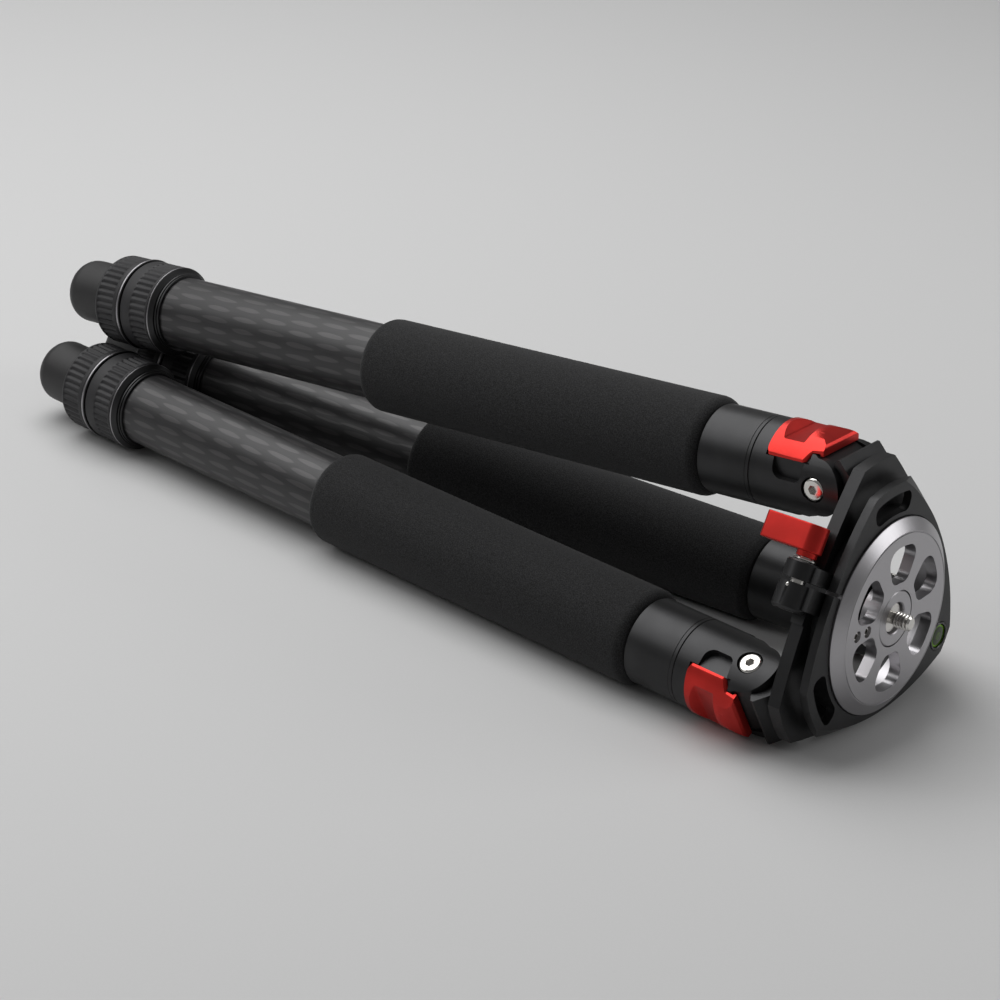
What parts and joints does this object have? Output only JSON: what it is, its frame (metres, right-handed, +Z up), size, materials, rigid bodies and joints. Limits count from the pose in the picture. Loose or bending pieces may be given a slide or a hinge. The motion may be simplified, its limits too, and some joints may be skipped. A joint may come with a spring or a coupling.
{
  "type": "photographic tripod leg set",
  "caption": "Folded carbon-fibre tripod leg set lying on its side, with twist-lock legs, foam grips, angle latches and a clamped top plate with a camera screw.",
  "frame": {"origin": "middle of the footprint, on the surface the folded set lies on", "axes": "+X towards the top plate along the folded legs, +Z up, +Y to the left of the leg that lies on top"},
  "size_m": [0.4484, 0.1208, 0.1105],
  "materials": {
    "black_alloy": "black anodised, fine satin",
    "satin_alloy": "bare, fine turned satin",
    "bright_steel": "polished",
    "red_alloy": "red anodised, satin",
    "carbon_weave": "woven carbon fibre laminate under a satin lacquer",
    "grip_foam": "closed-cell foam, matt",
    "lock_rubber": "ribbed rubber, matt",
    "foot_rubber": "moulded rubber, matt",
    "level_fluid": "tinted fluid behind a clear window",
    "level_black": "gloss"
  },
  "bodies": {
    "shoulder_unit": {"shoulder": "black_alloy", "stop_pin": "bright_steel", "level_bezel": "level_black", "level_vial": "level_fluid"},
    "plate": {"top_plate": "satin_alloy", "hub_insert": "satin_alloy", "grub_screw_inner": "bright_steel", "grub_screw_outer": "bright_steel"},
    "screw": {"mounting_screw": "bright_steel", "screw_knob": "black_alloy"},
    "lever": {"clamp_lever": "red_alloy", "clamp_bolt": "bright_steel", "clamp_washer": "bright_steel"},
    "leg_A": {"yoke_A": "black_alloy", "pivot_bolt_A": "bright_steel", "pivot_nut_A": "bright_steel", "upper_tube_A": "carbon_weave", "foam_grip_A": "grip_foam", "upper_lock_body_A": "black_alloy"},
    "latch_A": {"angle_latch_A": "red_alloy", "latch_pin_A": "bright_steel"},
    "upper_collar_A": {"upper_twist_collar_A": "lock_rubber"},
    "middle_A": {"middle_tube_A": "carbon_weave", "lower_lock_body_A": "black_alloy"},
    "lower_collar_A": {"lower_twist_collar_A": "lock_rubber"},
    "lower_A": {"lower_tube_A": "carbon_weave", "rubber_foot_A": "foot_rubber"},
    "leg_B": {"yoke_B": "black_alloy", "pivot_bolt_B": "bright_steel", "pivot_nut_B": "bright_steel", "upper_tube_B": "carbon_weave", "foam_grip_B": "grip_foam", "upper_lock_body_B": "black_alloy"},
    "latch_B": {"angle_latch_B": "red_alloy", "latch_pin_B": "bright_steel"},
    "upper_collar_B": {"upper_twist_collar_B": "lock_rubber"},
    "middle_B": {"middle_tube_B": "carbon_weave", "lower_lock_body_B": "black_alloy"},
    "lower_collar_B": {"lower_twist_collar_B": "lock_rubber"},
    "lower_B": {"lower_tube_B": "carbon_weave", "rubber_foot_B": "foot_rubber"},
    "leg_C": {"yoke_C": "black_alloy", "pivot_bolt_C": "bright_steel", "pivot_nut_C": "bright_steel", "upper_tube_C": "carbon_weave", "foam_grip_C": "grip_foam", "upper_lock_body_C": "black_alloy"},
    "latch_C": {"angle_latch_C": "red_alloy", "latch_pin_C": "bright_steel"},
    "upper_collar_C": {"upper_twist_collar_C": "lock_rubber"},
    "middle_C": {"middle_tube_C": "carbon_weave", "lower_lock_body_C": "black_alloy"},
    "lower_collar_C": {"lower_twist_collar_C": "lock_rubber"},
    "lower_C": {"lower_tube_C": "carbon_weave", "rubber_foot_C": "foot_rubber"}
  },
  "joints": [
    {"name": "plate_lift", "type": "slide", "parent": "shoulder_unit", "child": "plate", "axis": [0.9995, 0, 0.0307], "range_m": [0, 0.02]},
    {"name": "screw_turn", "type": "hinge", "parent": "plate", "child": "screw", "pos_m": [0.21835, 0, 0.04499], "axis": [0.9995, 0, 0.0307], "continuous": true},
    {"name": "lever_swing", "type": "hinge", "parent": "shoulder_unit", "child": "lever", "pos_m": [0.19959, -0.04347, 0.06952], "axis": [-0.0266, 0.5, 0.8656], "range_deg": [0, 95]},
    {"name": "leg_A_spread", "type": "hinge", "parent": "shoulder_unit", "child": "leg_A", "pos_m": [0.18587, 0, 0.09281], "axis": [0, 1, 0], "range_deg": [0, 24.5]},
    {"name": "latch_A_pull", "type": "slide", "parent": "leg_A", "child": "latch_A", "axis": [-0.096, 0, 0.9954], "range_m": [0, 0.005], "stiffness_N_per_m": 400, "springref_m": -0.002},
    {"name": "upper_collar_A_twist", "type": "hinge", "parent": "leg_A", "child": "upper_collar_A", "pos_m": [0.18587, 0, 0.09281], "axis": [-0.9954, 0, -0.096], "range_deg": [0, 100]},
    {"name": "middle_A_extend", "type": "slide", "parent": "leg_A", "child": "middle_A", "axis": [-0.9954, 0, -0.096], "range_m": [0, 0.25]},
    {"name": "lower_collar_A_twist", "type": "hinge", "parent": "middle_A", "child": "lower_collar_A", "pos_m": [0.18587, 0, 0.09281], "axis": [-0.9954, 0, -0.096], "range_deg": [0, 100]},
    {"name": "lower_A_extend", "type": "slide", "parent": "middle_A", "child": "lower_A", "axis": [-0.9954, 0, -0.096], "range_m": [0, 0.235]},
    {"name": "leg_B_spread", "type": "hinge", "parent": "shoulder_unit", "child": "leg_B", "pos_m": [0.18812, -0.04226, 0.01965], "axis": [-0.0266, -0.5, 0.8656], "range_deg": [0, 24.5]},
    {"name": "latch_B_pull", "type": "slide", "parent": "leg_B", "child": "latch_B", "axis": [-0.0501, -0.8642, -0.5007], "range_m": [0, 0.005], "stiffness_N_per_m": 400, "springref_m": -0.002},
    {"name": "upper_collar_B_twist", "type": "hinge", "parent": "leg_B", "child": "upper_collar_B", "pos_m": [0.18812, -0.04226, 0.01965], "axis": [-0.9984, 0.0566, 0.002], "range_deg": [0, 100]},
    {"name": "middle_B_extend", "type": "slide", "parent": "leg_B", "child": "middle_B", "axis": [-0.9984, 0.0566, 0.002], "range_m": [0, 0.25]},
    {"name": "lower_collar_B_twist", "type": "hinge", "parent": "middle_B", "child": "lower_collar_B", "pos_m": [0.18812, -0.04226, 0.01965], "axis": [-0.9984, 0.0566, 0.002], "range_deg": [0, 100]},
    {"name": "lower_B_extend", "type": "slide", "parent": "middle_B", "child": "lower_B", "axis": [-0.9984, 0.0566, 0.002], "range_m": [0, 0.235]},
    {"name": "leg_C_spread", "type": "hinge", "parent": "shoulder_unit", "child": "leg_C", "pos_m": [0.18812, 0.04226, 0.01965], "axis": [0.0266, -0.5, -0.8656], "range_deg": [0, 24.5]},
    {"name": "latch_C_pull", "type": "slide", "parent": "leg_C", "child": "latch_C", "axis": [-0.0501, 0.8642, -0.5007], "range_m": [0, 0.005], "stiffness_N_per_m": 400, "springref_m": -0.002},
    {"name": "upper_collar_C_twist", "type": "hinge", "parent": "leg_C", "child": "upper_collar_C", "pos_m": [0.18812, 0.04226, 0.01965], "axis": [-0.9984, -0.0566, 0.002], "range_deg": [0, 100]},
    {"name": "middle_C_extend", "type": "slide", "parent": "leg_C", "child": "middle_C", "axis": [-0.9984, -0.0566, 0.002], "range_m": [0, 0.25]},
    {"name": "lower_collar_C_twist", "type": "hinge", "parent": "middle_C", "child": "lower_collar_C", "pos_m": [0.18812, 0.04226, 0.01965], "axis": [-0.9984, -0.0566, 0.002], "range_deg": [0, 100]},
    {"name": "lower_C_extend", "type": "slide", "parent": "middle_C", "child": "lower_C", "axis": [-0.9984, -0.0566, 0.002], "range_m": [0, 0.235]}
  ]
}
